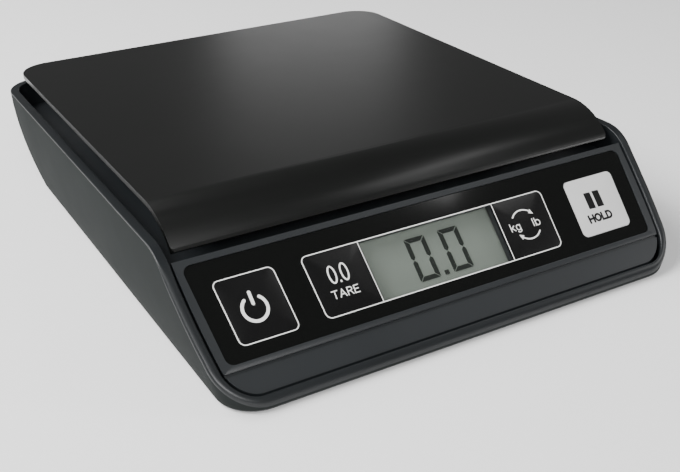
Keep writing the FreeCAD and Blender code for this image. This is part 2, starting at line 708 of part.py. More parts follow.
def battery_door():
    """Flush door with two hinge knuckles at the front and a latch tongue at the back."""
    z0 = FOOT_PROUD
    gap = 0.4
    plate = box(BAY_X - BAY_HALF + gap, BAY_X + BAY_HALF - gap, DOOR_HINGE_Y - 0.8,
                BAY_Y[1] - gap, z0, z0 + DOOR_THICK)
    pieces = [plate]
    for side in (-1, 1):
        x0 = BAY_X + side * 12 - 3
        knuckle = Part.makeCylinder(1.8, 6, Vector(x0, DOOR_HINGE_Y, DOOR_HINGE_Z), Vector(1, 0, 0))
        web = box(x0, x0 + 6, DOOR_HINGE_Y - 0.8, DOOR_HINGE_Y + 1.2, z0 + 0.5, DOOR_HINGE_Z)
        pieces += [knuckle, web]
    pieces.append(box(BAY_X - 5, BAY_X + 5, BAY_Y[1] - 3.2, BAY_Y[1] - 2.0, z0 + 1, z0 + 5.5))
    door = fuse(pieces)
    bore = Part.makeCylinder(0.85, 60, Vector(BAY_X - 30, DOOR_HINGE_Y, DOOR_HINGE_Z), Vector(1, 0, 0))
    thumb = box(BAY_X - 7, BAY_X + 7, BAY_Y[1] - 8, BAY_Y[1] - 5.5, z0 - 1, z0 + 0.5)
    return door.cut(bore).cut(thumb)


def door_pin():
    """Hinge pin across the bay, held in both side walls."""
    reach = BAY_HALF
    return Part.makeCylinder(0.8, 2 * reach, Vector(BAY_X - reach, DOOR_HINGE_Y, DOOR_HINGE_Z),
                             Vector(1, 0, 0))


# ---------------------------------------------------------------- small parts
def rubber_feet():
    return Part.makeCompound([post(x, y, 0, 2.2, FOOT_R) for x, y in FEET])


def housing_screws():
    up = Vector(0, 0, 1)
    return Part.makeCompound([pan_head_screw(Vector(x, y, SCREW_HEAD_Z), up, 2.8, 2.2, 1.5, 13)
                              for x, y in HOUSING_SCREWS])


def board_screws():
    return Part.makeCompound([pan_head_screw(slope_point(x, s, BOARD_UNDER), SLOPE_NORMAL, 2.1, 1.4, 1.0, 4.6)
                              for x, s in BOARD_SCREWS])


def cell_base_screws():
    up = Vector(0, 0, 1)
    return Part.makeCompound([pan_head_screw(Vector(0, y, 4.4), up, 3.5, 2.6, 2.0, 14)
                              for y in CELL_BASE_Y])


def cell_top_screws():
    down = Vector(0, 0, -1)
    top = CARRIER_Z + 4
    return Part.makeCompound([pan_head_screw(Vector(0, y, top), down, 3.5, 2.6, 2.0, 14)
                              for y in CELL_TOP_Y])


# ---------------------------------------------------------------- write every node
save("housing_tray", housing_tray())
save("console_cover", console_cover())
save("overlay_panel", overlay_panel())
for key_name, (key_left, key_right) in KEYS.items():
    save(key_name, key(key_left, key_right))
    save(key_name + "_dome", key_dome(key_left, key_right))
save("display_window", tapered_box(WINDOW_LEFT + 0.1, WINDOW_RIGHT - 0.1, KEY_TOP + 0.1, KEY_END - 0.1,
                                   -OVERLAY_THICK, -0.05))
save("display_gasket", frame_layer(GASKET_END, COVER_UNDER, 0, 2.6))
save("lcd_front_glass", lcd_layer(FRONT_GLASS_END, GASKET_END))
save("lcd_digits", lcd_digits())
save("lcd_rear_glass", lcd_layer(REAR_GLASS_END, DIGIT_END))
save("lcd_reflector", lcd_layer(REFLECTOR_END, REAR_GLASS_END, 0.5))
save("lcd_holder", frame_layer(BOARD_TOP, GASKET_END, 1.0, 1.0))
save("zebra_strips", zebra_strips())
save("main_board", main_board())
save("board_screws", board_screws())
save("controller_chip", under_board(-8, 6, 12, 26, 1.6))
save("converter_chip", under_board(22, 27, 20, 24, 1.4))
save("timing_crystal", under_board(-17, -12, 14, 17.6, 2.6))
save("capacitors", capacitors())
save("load_cell_socket", board_socket(*CELL_PLUG))
save("battery_socket", board_socket(*BATTERY_PLUG))
save("load_cell_plug", lead_plug(*CELL_PLUG))
save("battery_plug", lead_plug(*BATTERY_PLUG))
save("load_cell_lead", load_cell_lead())
save("battery_leads", battery_leads())
save("load_cell", load_cell())
save("gauge_covers", gauge_covers())
save("cell_base_spacer", spacer(CELL_BASE_Y, CELL_BOSS_TOP, CELL_Z))
save("cell_base_screws", cell_base_screws())
save("cell_top_spacer", spacer(CELL_TOP_Y, CELL_TOP, CARRIER_Z))
save("cell_top_screws", cell_top_screws())
save("platform_carrier", platform_carrier())
save("platform_cushions", platform_cushions())
save("platform", platform())
save("overload_stops", overload_stops())
for cell_index, cell_place in enumerate(("left", "middle", "right")):
    save("battery_" + cell_place, battery(cell_index))
save("bay_contacts", bay_contacts())
save("bay_springs", bay_springs())
save("battery_door", battery_door())
save("door_pin", door_pin())
save("rubber_feet", rubber_feet())
save("housing_screws", housing_screws())
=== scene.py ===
"""Looks of the platform shipping scale: rounded housing bead, satin platform, glossy panel with its
pillowed keys and printed symbols, and the materials of everything inside. Lengths are millimetres
until a mesh is made, x to the user's right, y to the back, z up.
"""
import functools
import json
import math

import bmesh
import bpy
from mathutils import Matrix, Vector


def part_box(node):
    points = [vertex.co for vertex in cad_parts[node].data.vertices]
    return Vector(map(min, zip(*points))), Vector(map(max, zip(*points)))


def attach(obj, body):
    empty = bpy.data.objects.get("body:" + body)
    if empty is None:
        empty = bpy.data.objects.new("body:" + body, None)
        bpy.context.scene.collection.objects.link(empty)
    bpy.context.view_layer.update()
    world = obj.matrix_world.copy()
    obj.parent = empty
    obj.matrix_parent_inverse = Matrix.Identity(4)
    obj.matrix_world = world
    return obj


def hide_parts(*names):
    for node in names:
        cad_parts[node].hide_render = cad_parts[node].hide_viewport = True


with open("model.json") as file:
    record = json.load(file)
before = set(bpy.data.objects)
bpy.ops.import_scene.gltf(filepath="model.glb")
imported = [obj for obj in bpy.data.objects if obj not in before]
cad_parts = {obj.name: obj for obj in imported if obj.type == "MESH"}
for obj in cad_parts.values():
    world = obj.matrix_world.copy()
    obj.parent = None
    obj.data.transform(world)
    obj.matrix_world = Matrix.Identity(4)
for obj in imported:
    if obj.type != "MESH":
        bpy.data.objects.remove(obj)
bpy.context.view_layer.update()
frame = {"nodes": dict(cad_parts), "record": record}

MM = 0.001

# Housing, as the CAD has it but for slightly tighter front corners.
FRONT = -118.8
FOOT_PROUD = 1.0
RIM_TOP = 44.3
FLOOR_TOP = 3.2
RIM_WALL = 3.7
FRONT_WALL = 2.2
RIM_BEND = 20.0
CREST = 1.3
# (z, half width, rear y, front corner radius, rear corner radius)
TRAY_SECTIONS = (
    (1.0, 95.3, 101.0, 14.0, 12.0),
    (22.0, 99.8, 112.4, 11.5, 14.0),
    (44.3, 101.6, 118.8, 14.0, 16.0),
)
SLOPE = math.radians(43.1)
SLOPE_Y = -80.6
SLOPE_Z = 38.1
SLOPE_NORMAL = Vector((0, -math.sin(SLOPE), math.cos(SLOPE)))
# Rounding of the rim: its value where the rim is level, and what is added where it is the console's bead.
ROUND_OUT = (0.5, 1.7)
ROUND_IN = (0.45, 0.75)
DROP_OUT = (0.5, 1.4)
BEAD_FALL = 8                 # the rim has its full bead this far below its top
WALL_STEPS = 8                # faces up the outer wall, after the two of the foot's edge
FOOT_STEPS = 2

# Keys: left and right edge at station KEY_TOP; everything on the panel narrows by TAPER per mm.
KEY_TOP = 7.8
KEY_END = 31.2
KEY_CORNER = 2.2
KEY_FLANGE = (-0.95, -2.15)   # top and end of the flange that holds a key in, over the panel
FLANGE = 1.1                  # how far it reaches beyond the key's top and end
FLANGE_CORNER = 0.4
PLUNGER = 2.0                 # half width of the post that presses the dome
PLUNGER_CORNER = 1.99
PILLOW = 0.5
PILLOW_EDGE = 0.06
TAPER = 0.001
KEYS = {
    "power_key": (-86.5, -64.3),
    "tare_key": (-53.6, -31.0),
    "unit_key": (27.6, 50.7),
    "hold_key": (62.3, 86.4),
}
BOARD_TOP = -6.6
DOME_RISE = 0.6

# Battery bay, load cell boss and the tray's posts.
BAY = (29.4, 66.6, -6.0, 50.0)
BAY_TOP = 17.0
BAY_WALL = 1.6
BAY_MIDDLE = 48.0
AAA_R = 5.25
AAA_PITCH = 2 * AAA_R + 1.2
CONTACT_Z = BAY_TOP - AAA_R - 0.9
SPRING_GAP = 0.4
SPRING_WIRE = 0.45
SPRING_RADII = (3.2, 1.9)
BOSS = (-13, 13, -20, 6, FLOOR_TOP - 1, 6.5)
POSTS = ((-84.0, -48.0), (84.0, -48.0), (-84.0, 62.0), (84.0, 62.0), (0.0, 96.0), (0.0, -72.0))
STOPS = ((-62.0, -32.0), (-62.0, 76.0), (62.0, -32.0), (62.0, 76.0))
FEET = ((-78.0, -86.0), (78.0, -86.0), (-80.0, 84.0), (80.0, 84.0))
CELL_SCREWS = (-13.5, -1.5)
# Turned outlines (radius, z) of what stands on the floor and of the holes under it.
POST = ((4.5, FLOOR_TOP - 1), (4.5, 11.7), (4.2, 12.0))
STOP_POST = ((4.0, FLOOR_TOP - 1), (4.0, 16.7), (3.7, 17.0))
POST_HOLE = ((3.6, 0.9), (3.2, 1.4), (3.2, 9.0), (1.7, 9.0), (1.7, 13))
STOP_HOLE = ((1.55, FLOOR_TOP + 2), (1.55, 18))
CELL_HOLE = ((4.3, 0.9), (3.9, 1.4), (3.9, 4.4), (2.2, 4.4), (2.2, 8))
FOOT_RECESS = ((7.4, 0.9), (7.1, 1.2), (7.1, 2.2))

# Display digits, in the layer between the glasses.
DIGIT_WIDE = 8.5
DIGIT_HIGH = 16.8
DIGIT_BAR = 1.7
DIGIT_GAP = 0.3
DIGIT_POINT = 1.7
DIGIT_TOP = 10.9
DIGIT_LEFTS = (-10.9, 3.7)
DIGIT_LAYER = (-4.39, -4.1)

# Print: its rise over the surface and how far it sinks in.
INK = 0.035
INK_SINK = 0.05
OUTLINE = 0.36
OUTLINE_RISE = 0.12
OUTLINE_SINK = 0.1
DIVIDER = 0.3
DIVIDER_LIFT = 0.08
DIVIDER_SHIFT = 0.1
# Signs on the keys: middles and ends are (x, station down the slope), turns are degrees.
POWER_MIDDLE = (-75.45, 20.3)
POWER_RADIUS = 4.45
POWER_TURN = (128, 412)
POWER_LINE = 1.15
POWER_BAR = (-75.55, 14.5, -75.5, 18.6)
POWER_BAR_LINE = 1.2
ARROW_MIDDLE = (38.1, 19.35)
ARROW_RADIUS = 5.9
ARROW_TURNS = ((142, 52), (-38, -128))
ARROW_LINE = 0.54
ARROW_HEAD_HALF = 0.95
ARROW_HEAD_LONG = 2.0
PAUSE_BARS = (70.35, 74.6)
PAUSE_TOP = 14.2
PAUSE_FOOT = 21.0
PAUSE_LEAN = (0.15, -0.2)
PAUSE_WIDE = 3.15
# Words on the keys: text, left, right, top, foot, weight of the strokes, space between letters.
TARE_WORDS = (
    ("0.0", -46.5, -38.5, 13.45, 20.25, 0.6, 1.1),
    ("TARE", -47.8, -37.2, 22.4, 25.45, 0.38, 0.8),
)
UNIT_WORDS = (
    ("kg", 30.8, 35.3, 17.6, 20.85, 0.36, 0.8),
    ("lb", 41.1, 44.5, 17.75, 21.05, 0.36, 1.0),
)
HOLD_WORDS = (
    ("HOLD", 66.0, 77.7, 23.1, 26.65, 0.86, 0.85),
)
LETTER_STEP = 0.8             # longest run of a stroke, so that it follows a pillowed key
# Rounding of the sharp edges of pieces shown as the CAD has them.
SOFT_EDGES = {
    "console_cover": 0.8,
    "platform": 0.45,
    "overlay_panel": 0.12,
    "battery_door": 0.3,
}

# Lights: name, place and target in metres, size, watts.
SOFTBOXES = (
    ("front_left", (-0.55, -1.1, 0.75), (0, 0, 0), (0.8, 0.5), 16),
    ("top_left", (-0.95, 0.05, 0.95), (0, 0, 0), (0.6, 0.6), 15),
    ("back_left", (-0.75, 0.6, 1.0), (0, 0, 0), (1.0, 0.8), 23),
    ("rear", (0.61, 1.15, 0.22), (0, 0, 0.05), (0.3, 0.3), 0.5),
    ("front_right", (1.05, -0.68, 0.54), (0, 0, 0), (0.2, 0.2), 2.4),
    ("top_right", (0.72, -0.31, 1.06), (0, 0, 0), (0.5, 0.2), 1.0),
    ("front_top", (-0.25, -0.58, 1.0), (0, 0, 0), (0.6, 0.35), 0.5),
)
SKY_STRENGTH = 0.15
FLOOR_HALF = 3000.0
FLOOR_GREY = (0.93, 0.93, 0.93)


# ---------------------------------------------------------------- mesh helpers
def make_object(name, verts, faces, body, slot, smooth_angle=32.0):
    """New mesh piece from millimetre points, riding on a body."""
    mesh = bpy.data.meshes.new(name)
    mesh.from_pydata([Vector(v) * MM for v in verts], [], faces)
    mesh.validate()
    work = bmesh.new()
    work.from_mesh(mesh)
    bmesh.ops.recalc_face_normals(work, faces=work.faces)
    work.to_mesh(mesh)
    work.free()
    obj = bpy.data.objects.new(name, mesh)
    bpy.context.collection.objects.link(obj)
    smooth(obj, smooth_angle)
    if body:
        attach(obj, body)
    return obj


def smooth(obj, angle):
    """Smooth shading, sharp where faces meet at more than the angle."""
    for face in obj.data.polygons:
        face.use_smooth = True
    obj.data.set_sharp_from_angle(angle=math.radians(angle))


def bake_modifiers(obj):
    """Replaces an object's mesh by its modified mesh."""
    graph = bpy.context.evaluated_depsgraph_get()
    mesh = bpy.data.meshes.new_from_object(obj.evaluated_get(graph))
    obj.modifiers.clear()
    obj.data = mesh


def combine(target, operand, operation):
    """Exact boolean of two closed meshes; the operand is used up."""
    step = target.modifiers.new(operation, "BOOLEAN")
    step.object = operand
    step.operation = operation
    step.solver = "EXACT"
    bake_modifiers(target)
    bpy.data.objects.remove(operand, do_unlink=True)


def tube_faces(rows, count):
    """Faces that join successive rings of points into a tube."""
    faces = []
    for row in range(rows - 1):
        a = row * count
        b = a + count
        for i in range(count):
            j = (i + 1) % count
            faces.append((a + i, a + j, b + j, b + i))
    return faces


def band_faces(count):
    """Faces of a closed flat band: outer and inner loop above, outer and inner loop below."""
    faces = []
    for i in range(count):
        j = (i + 1) % count
        faces.append((i, j, count + j, count + i))
        faces.append((2 * count + i, 3 * count + i, 3 * count + j, 2 * count + j))
        faces.append((i, 2 * count + i, 2 * count + j, j))
        faces.append((count + i, count + j, 3 * count + j, 3 * count + i))
    return faces


def plate_faces(count):
    """Faces of a convex plate: a loop above, the same loop below."""
    faces = [tuple(range(count)), tuple(reversed(range(count, 2 * count)))]
    faces += [(i, (i + 1) % count, count + (i + 1) % count, count + i) for i in range(count)]
    return faces


def lathe_solid(x, y, outline, count=40):
    """Closed turned solid about a vertical axis; outline is (radius, z) from bottom to top."""
    verts = []
    for radius, z in outline:
        for i in range(count):
            turn = 2 * math.pi * i / count
            verts.append((x + radius * math.cos(turn), y + radius * math.sin(turn), z))
    faces = tube_faces(len(outline), count)
    faces.append(tuple(reversed(range(count))))
    top = (len(outline) - 1) * count
    faces.append(tuple(range(top, top + count)))
    return verts, faces


def box_solid(x0, x1, y0, y1, z0, z1):
    """Closed box between two corners."""
    verts = [(x, y, z) for z in (z0, z1) for x, y in ((x0, y0), (x1, y0), (x1, y1), (x0, y1))]
    faces = [(3, 2, 1, 0), (4, 5, 6, 7), (0, 1, 5, 4), (1, 2, 6, 5), (2, 3, 7, 6), (3, 0, 4, 7)]
    return verts, faces


def gather(solids):
    """One vertex and face list from several."""
    verts = []
    faces = []
    for part_verts, part_faces in solids:
        start = len(verts)
        verts += part_verts
        faces += [tuple(start + i for i in face) for face in part_faces]
    return verts, faces


def slope_point(x, s, h):
    """Point s down the console slope and h above the overlay plane."""
    y = SLOPE_Y - s * math.cos(SLOPE) - h * math.sin(SLOPE)
    z = SLOPE_Z - s * math.sin(SLOPE) + h * math.cos(SLOPE)
    return Vector((x, y, z))


def lean(x, s):
    """X of a line that narrows with the panel; x holds at the station KEY_TOP."""
    return x * (1 - TAPER * (s - KEY_TOP))


def quadratic(a, b, c, t):
    """Point t of a curve from a to c that leans towards b."""
    return a * (1 - t) ** 2 + b * 2 * t * (1 - t) + c * t * t


# ---------------------------------------------------------------- housing
def section(z):
    """Half width, rear y and corner radii of the tray at a height: a parabola through three sections."""
    (z0, *first), (z1, *middle), (z2, *last) = TRAY_SECTIONS
    k0 = (z - z1) * (z - z2) / ((z0 - z1) * (z0 - z2))
    k1 = (z - z0) * (z - z2) / ((z1 - z0) * (z1 - z2))
    k2 = (z - z0) * (z - z1) / ((z2 - z0) * (z2 - z1))
    return [k0 * a + k1 * b + k2 * c for a, b, c in zip(first, middle, last)]


def outline_columns():
    """(side, fraction) of every column round the tray, anticlockwise from the front left."""
    bend = [0.095 + 0.007 * i for i in range(16)]
    side_up = [0, 0.03, 0.06] + bend + [0.25, 0.35, 0.5, 0.65, 0.8, 0.9]
    side_down = [0] + [1 - f for f in reversed(side_up[1:])]
    corner = [i / 12 for i in range(12)]
    straight = [i / 10 for i in range(10)]
    runs = (straight, corner, side_up, corner, straight, corner, side_down, corner)
    return [(side, f) for side, run in enumerate(runs) for f in run]


def outline_point(column, z, inset):
    """Plan point of a column at height z, drawn in from the outer surface; the front is thinner."""
    side, f = column
    half, rear, r_front, r_rear = section(z)
    half -= inset
    rear -= inset
    r_front -= inset
    r_rear -= inset
    front = FRONT + inset * FRONT_WALL / RIM_WALL
    if side == 0:
        return (half - r_front) * (2 * f - 1), front
    if side == 2:
        return half, front + r_front + (rear - r_rear - front - r_front) * f
    if side == 4:
        return (half - r_rear) * (1 - 2 * f), rear
    if side == 6:
        return -half, rear - r_rear + (front + r_front - rear + r_rear) * f
    turn = math.radians(90 * (f + (side - 3) / 2))
    radius = r_front if side in (1, 7) else r_rear
    middle_x = (half - radius) * (1 if side in (1, 3) else -1)
    middle_y = front + radius if side in (1, 7) else rear - radius
    return middle_x + radius * math.cos(turn), middle_y + radius * math.sin(turn)


def crest_height(y):
    """Height of the rim's crest: level, a round bend, then parallel to the console slope."""
    top = slope_point(0, 0, CREST)
    fall = math.tan(SLOPE)
    corner_y = top.y + (RIM_TOP - top.z) / fall
    level_y = corner_y + RIM_BEND * math.tan(SLOPE / 2)
    slope_y = level_y - RIM_BEND * math.sin(SLOPE)
    if y >= level_y:
        return RIM_TOP
    if y > slope_y:
        return RIM_TOP - RIM_BEND + math.sqrt(RIM_BEND ** 2 - (level_y - y) ** 2)
    return top.z + (y - top.y) * fall


def rim_point(column, inset):
    """Point of the unrounded rim's top at an inset from the outer surface."""
    z = RIM_TOP
    for _ in range(12):
        x, y = outline_point(column, z, inset)
        z = crest_height(y)
    x, y = outline_point(column, z, inset)
    return Vector((x, y, z))


def wall_point(column, z, inset):
    """Point of a column at height z, drawn in by the inset."""
    x, y = outline_point(column, z, inset)
    return Vector((x, y, z))


def tray_profile(column):
    """Points of one section through the tray wall, from the floor's underside over the rim."""
    outer = rim_point(column, 0)
    inner = rim_point(column, RIM_WALL)
    down = min(max((RIM_TOP - outer.z) / BEAD_FALL, 0), 1)
    down = down * down * (3 - 2 * down)
    round_out = ROUND_OUT[0] + ROUND_OUT[1] * down
    round_in = ROUND_IN[0] + ROUND_IN[1] * down
    drop_out = DROP_OUT[0] + DROP_OUT[1] * down
    points = [wall_point(column, FOOT_PROUD, 0.5), wall_point(column, FOOT_PROUD + 0.15, 0.15)]
    low = FOOT_PROUD + 0.6
    high = outer.z - drop_out
    for k in range(WALL_STEPS + 1):
        points.append(wall_point(column, low + (high - low) * k / WALL_STEPS, 0))
    start = wall_point(column, high, 0)
    end = rim_point(column, round_out)
    for k in range(1, 8):
        points.append(quadratic(start, outer, end, k / 7))
    start = rim_point(column, RIM_WALL - round_in)
    end = wall_point(column, inner.z - round_in, RIM_WALL)
    for k in range(6):
        points.append(quadratic(start, inner, end, k / 5))
    for k in (0.4, 0.7, 1):
        points.append(wall_point(column, end.z + (FLOOR_TOP - end.z) * k, RIM_WALL))
    return points


def tray_shell():
    """The whole tray: walls, rim, bead, floor, posts, battery bay and the holes under it."""
    columns = outline_columns()
    profiles = [tray_profile(column) for column in columns]
    rows = len(profiles[0])
    count = len(columns)
    verts = [profiles[i][row] for row in range(rows) for i in range(count)]
    faces = tube_faces(rows, count)
    faces.append(tuple(range(count)))
    faces.append(tuple(range((rows - 1) * count, rows * count)))
    shell = make_object("tray_shell", verts, faces, "housing", "housing_plastic")
    # The tray takes the darker copy of the housing plastic, painted shade, and its outer wall faces the
    # lighter copy, a painted reflection of the floor.
    paint(shell, MATERIALS["tray_painted_shade"])
    shell.data.materials.append(MATERIALS["wall_painted_reflection"])
    for index in range(FOOT_STEPS * count, (FOOT_STEPS + WALL_STEPS) * count):
        shell.data.polygons[index].material_index = 1
    inside = [box_solid(*BOSS),
              box_solid(BAY[0] - BAY_WALL, BAY[1] + BAY_WALL, BAY[2] - BAY_WALL, BAY[3] + BAY_WALL,
                        FLOOR_TOP - 1, BAY_TOP + BAY_WALL)]
    inside += [lathe_solid(x, y, POST) for x, y in POSTS]
    inside += [lathe_solid(x, y, STOP_POST) for x, y in STOPS]
    combine(shell, make_object("additions", *gather(inside), None, None), "UNION")
    holes = [box_solid(*BAY, 0, BAY_TOP)]
    holes += [lathe_solid(x, y, POST_HOLE) for x, y in POSTS]
    holes += [lathe_solid(x, y, STOP_HOLE) for x, y in STOPS]
    holes += [lathe_solid(0, y, CELL_HOLE) for y in CELL_SCREWS]
    holes += [lathe_solid(x, y, FOOT_RECESS) for x, y in FEET]
    combine(shell, make_object("holes", *gather(holes), None, None), "DIFFERENCE")
    smooth(shell, 32)
    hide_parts("housing_tray")


# ---------------------------------------------------------------- keys
def key_ring(left, right, s0, s1, radius, h, steps=8, side_steps=6):
    """Points of a round-cornered frame on the slope, leaning in with the panel."""
    points = []
    corners = ((right - radius, s0 + radius, -90), (right - radius, s1 - radius, 0),
               (left + radius, s1 - radius, 90), (left + radius, s0 + radius, 180))
    for k, (x, s, start) in enumerate(corners):
        arc = []
        for i in range(steps + 1):
            turn = math.radians(start + 90 * i / steps)
            arc.append((x + radius * math.cos(turn), s + radius * math.sin(turn)))
        after = corners[(k + 1) % 4]
        turn = math.radians(after[2])
        following = (after[0] + radius * math.cos(turn), after[1] + radius * math.sin(turn))
        points += arc
        for i in range(1, side_steps):
            f = i / side_steps
            points.append((arc[-1][0] * (1 - f) + following[0] * f,
                           arc[-1][1] * (1 - f) + following[1] * f))
    return [slope_point(lean(u, v), v, h) for u, v in points]


def pillow_height(q):
    """Height of a key's face at q of the way in from its edge."""
    return PILLOW_EDGE + PILLOW * (1 - (1 - q) ** 2.0) ** 0.9


def key_pad(name, left, right, slot):
    """Pillowed key face over its retaining flange and plunger."""
    flange_top, flange_end = KEY_FLANGE
    rings = []
    # From the middle of the face out to its edge, as fractions of the way in.
    for q in (0.985, 0.95, 0.9, 0.84, 0.77, 0.69, 0.6, 0.5, 0.4, 0.3, 0.21, 0.13, 0.07, 0.03, 0.01, 0):
        shrink_x = (right - left) / 2 * q
        shrink_s = (KEY_END - KEY_TOP) / 2 * q
        rings.append(key_ring(left + shrink_x, right - shrink_x, KEY_TOP + shrink_s,
                              KEY_END - shrink_s, KEY_CORNER * (1 - q), pillow_height(q)))
    rings.append(key_ring(left, right, KEY_TOP, KEY_END, KEY_CORNER, flange_top))
    for h in (flange_top, flange_end):
        rings.append(key_ring(left, right, KEY_TOP - FLANGE, KEY_END + FLANGE, FLANGE_CORNER, h))
    middle_s = (KEY_TOP + KEY_END) / 2
    middle_x = (left + right) / 2
    for h in (flange_end, BOARD_TOP + DOME_RISE):
        rings.append(key_ring(middle_x - PLUNGER, middle_x + PLUNGER, middle_s - PLUNGER,
                              middle_s + PLUNGER, PLUNGER_CORNER, h))
    verts = [p for ring in rings for p in ring]
    count = len(rings[0])
    faces = tube_faces(len(rings), count)
    faces.append(tuple(range(count)))
    faces.append(tuple(range((len(rings) - 1) * count, len(rings) * count)))
    pad = make_object(name + "_pillow", verts, faces, name + "_pad", slot, 40)
    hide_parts(name)
    return pad


def pillow_at(key_name, x, s):
    """Height of a key's pillowed face under a panel point."""
    left, right = KEYS[key_name]
    flat_x = x / (1 - TAPER * (s - KEY_TOP))
    q_x = 1 - abs(flat_x - (left + right) / 2) / ((right - left) / 2)
    q_s = 1 - abs(s - (KEY_TOP + KEY_END) / 2) / ((KEY_END - KEY_TOP) / 2)
    return pillow_height(max(min(q_x, q_s), 0))


# ---------------------------------------------------------------- print on the panel
def ink_points(rows, height):
    """Points of rows of (x, s) on the print's face and then on its underside."""
    verts = []
    for lift in (INK, -INK_SINK):
        for row in rows:
            verts += [slope_point(x, s, height(x, s) + lift) for x, s in row]
    return verts


def ink_solid(outer, inner, height):
    """Thin printed band between two loops of (x, s); height(x, s) gives the surface under it."""
    return ink_points((outer, inner), height), band_faces(len(outer))


def stroke(path, width, height, closed=False, round_ends=True):
    """Printed line of constant width along a path of (x, s)."""
    half = width / 2
    count = len(path)
    left = []
    right = []
    for i in range(count):
        before = path[i - 1] if closed or i else path[i]
        after = path[(i + 1) % count] if closed or i < count - 1 else path[i]
        here = Vector(path[i])
        into = (here - Vector(before)).normalized()
        out = (Vector(after) - here).normalized()
        along = (into + out).normalized()
        run = into if into.length else out
        across = Vector((-along.y, along.x)) * half / max(along.dot(run), 0.5)
        left.append((path[i][0] + across.x, path[i][1] + across.y))
        right.append((path[i][0] - across.x, path[i][1] - across.y))
    if closed:
        return ink_solid(left, right, height)
    if round_ends:
        left, right = with_caps(path, left, right, half)
    return open_ink(left, right, height)


def with_caps(path, left, right, half, steps=5):
    """Adds a half-round end to both ends of an open stroke."""
    for at_end in (False, True):
        tip = path[-1] if at_end else path[0]
        near = path[-2] if at_end else path[1]
        out = Vector((tip[0] - near[0], tip[1] - near[1])).normalized()
        across = Vector((-out.y, out.x))
        if not at_end:
            across = -across
        cap_left = []
        cap_right = []
        for k in range(1, steps + 1):
            turn = math.pi / 2 * k / steps
            reach = out * half * math.sin(turn)
            side = across * half * math.cos(turn)
            cap_left.append((tip[0] + reach.x + side.x, tip[1] + reach.y + side.y))
            cap_right.append((tip[0] + reach.x - side.x, tip[1] + reach.y - side.y))
        if at_end:
            left = left + cap_left
            right = right + cap_right
        else:
            left = cap_left[::-1] + left
            right = cap_right[::-1] + right
    return left, right


def open_ink(left, right, height):
    """Printed strip between two open rows of (x, s)."""
    count = len(left)
    faces = []
    for i in range(count - 1):
        faces.append((i, i + 1, count + i + 1, count + i))
        faces.append((2 * count + i, 3 * count + i, 3 * count + i + 1, 2 * count + i + 1))
        faces.append((i, 2 * count + i, 2 * count + i + 1, i + 1))
        faces.append((count + i, count + i + 1, 3 * count + i + 1, 3 * count + i))
    for i in (0, count - 1):
        faces.append((i, count + i, 3 * count + i, 2 * count + i))
    return ink_points((left, right), height), faces


def arc_path(x, s, radius, start, end, steps=28):
    """Arc on the panel; angles in degrees, 0 to the right and 90 up the slope."""
    path = []
    for i in range(steps + 1):
        turn = math.radians(start + (end - start) * i / steps)
        path.append((x + radius * math.cos(turn), s - radius * math.sin(turn)))
    return path


def straight_path(x0, s0, x1, s1, steps=6):
    """Straight line on the panel in equal steps."""
    return [(x0 + (x1 - x0) * i / steps, s0 + (s1 - s0) * i / steps) for i in range(steps + 1)]


def bow(x, y, rx, ry, start, end, steps=14):
    """Elliptical arc in letter units, y up; angles in degrees, anticlockwise from the right."""
    path = []
    for i in range(steps + 1):
        turn = math.radians(start + (end - start) * i / steps)
        path.append((x + rx * math.cos(turn), y + ry * math.sin(turn)))
    return path


# Letter: width, then its strokes, with the foot line at 0 and capitals to 1.
# A stroke that ends at its own start is closed.
LETTERS = {
    "T": (0.66, [(0, 1), (0.66, 1)], [(0.33, 1), (0.33, 0)]),
    "A": (0.74, [(0, 0), (0.37, 1), (0.74, 0)], [(0.15, 0.34), (0.59, 0.34)]),
    "R": (0.62, [(0, 0), (0, 1), (0.34, 1), *bow(0.34, 0.76, 0.24, 0.24, 80, -80), (0.34, 0.5), (0, 0.5)],
          [(0.34, 0.5), (0.62, 0)]),
    "E": (0.54, [(0.54, 1), (0, 1), (0, 0), (0.54, 0)], [(0, 0.52), (0.48, 0.52)]),
    "H": (0.62, [(0, 0), (0, 1)], [(0.62, 0), (0.62, 1)], [(0, 0.52), (0.62, 0.52)]),
    "O": (0.74, bow(0.37, 0.5, 0.37, 0.5, 0, 360, 28)),
    "L": (0.46, [(0, 1), (0, 0), (0.46, 0)]),
    "D": (0.64, [(0, 0), (0, 1), (0.26, 1), *bow(0.26, 0.5, 0.38, 0.5, 80, -80), (0.26, 0), (0, 0)]),
    "k": (0.46, [(0, 0), (0, 1)], [(0.42, 0.7), (0, 0.27)], [(0.15, 0.42), (0.46, 0)]),
    "g": (0.48, bow(0.24, 0.35, 0.24, 0.36, 0, 360, 22),
          [(0.48, 0.7), (0.48, -0.1), *bow(0.25, -0.1, 0.23, 0.2, -10, -150, 10)]),
    "l": (0.0, [(0, 0), (0, 1)]),
    "b": (0.5, [(0, 0), (0, 1)], bow(0.26, 0.35, 0.24, 0.36, 0, 360, 22)),
    "0": (0.5, bow(0.25, 0.5, 0.25, 0.5, 0, 360, 32)),
    ".": (0.0, [(0, 0), (0, 0.03)]),
}


def dense(path, gap):
    """The same path with no run longer than the gap, so that it follows a pillowed key."""
    points = [path[0]]
    for (x0, y0), (x1, y1) in zip(path, path[1:]):
        parts = max(math.ceil(math.hypot(x1 - x0, y1 - y0) / gap), 1)
        points += [(x0 + (x1 - x0) * k / parts, y0 + (y1 - y0) * k / parts) for k in range(1, parts + 1)]
    return points


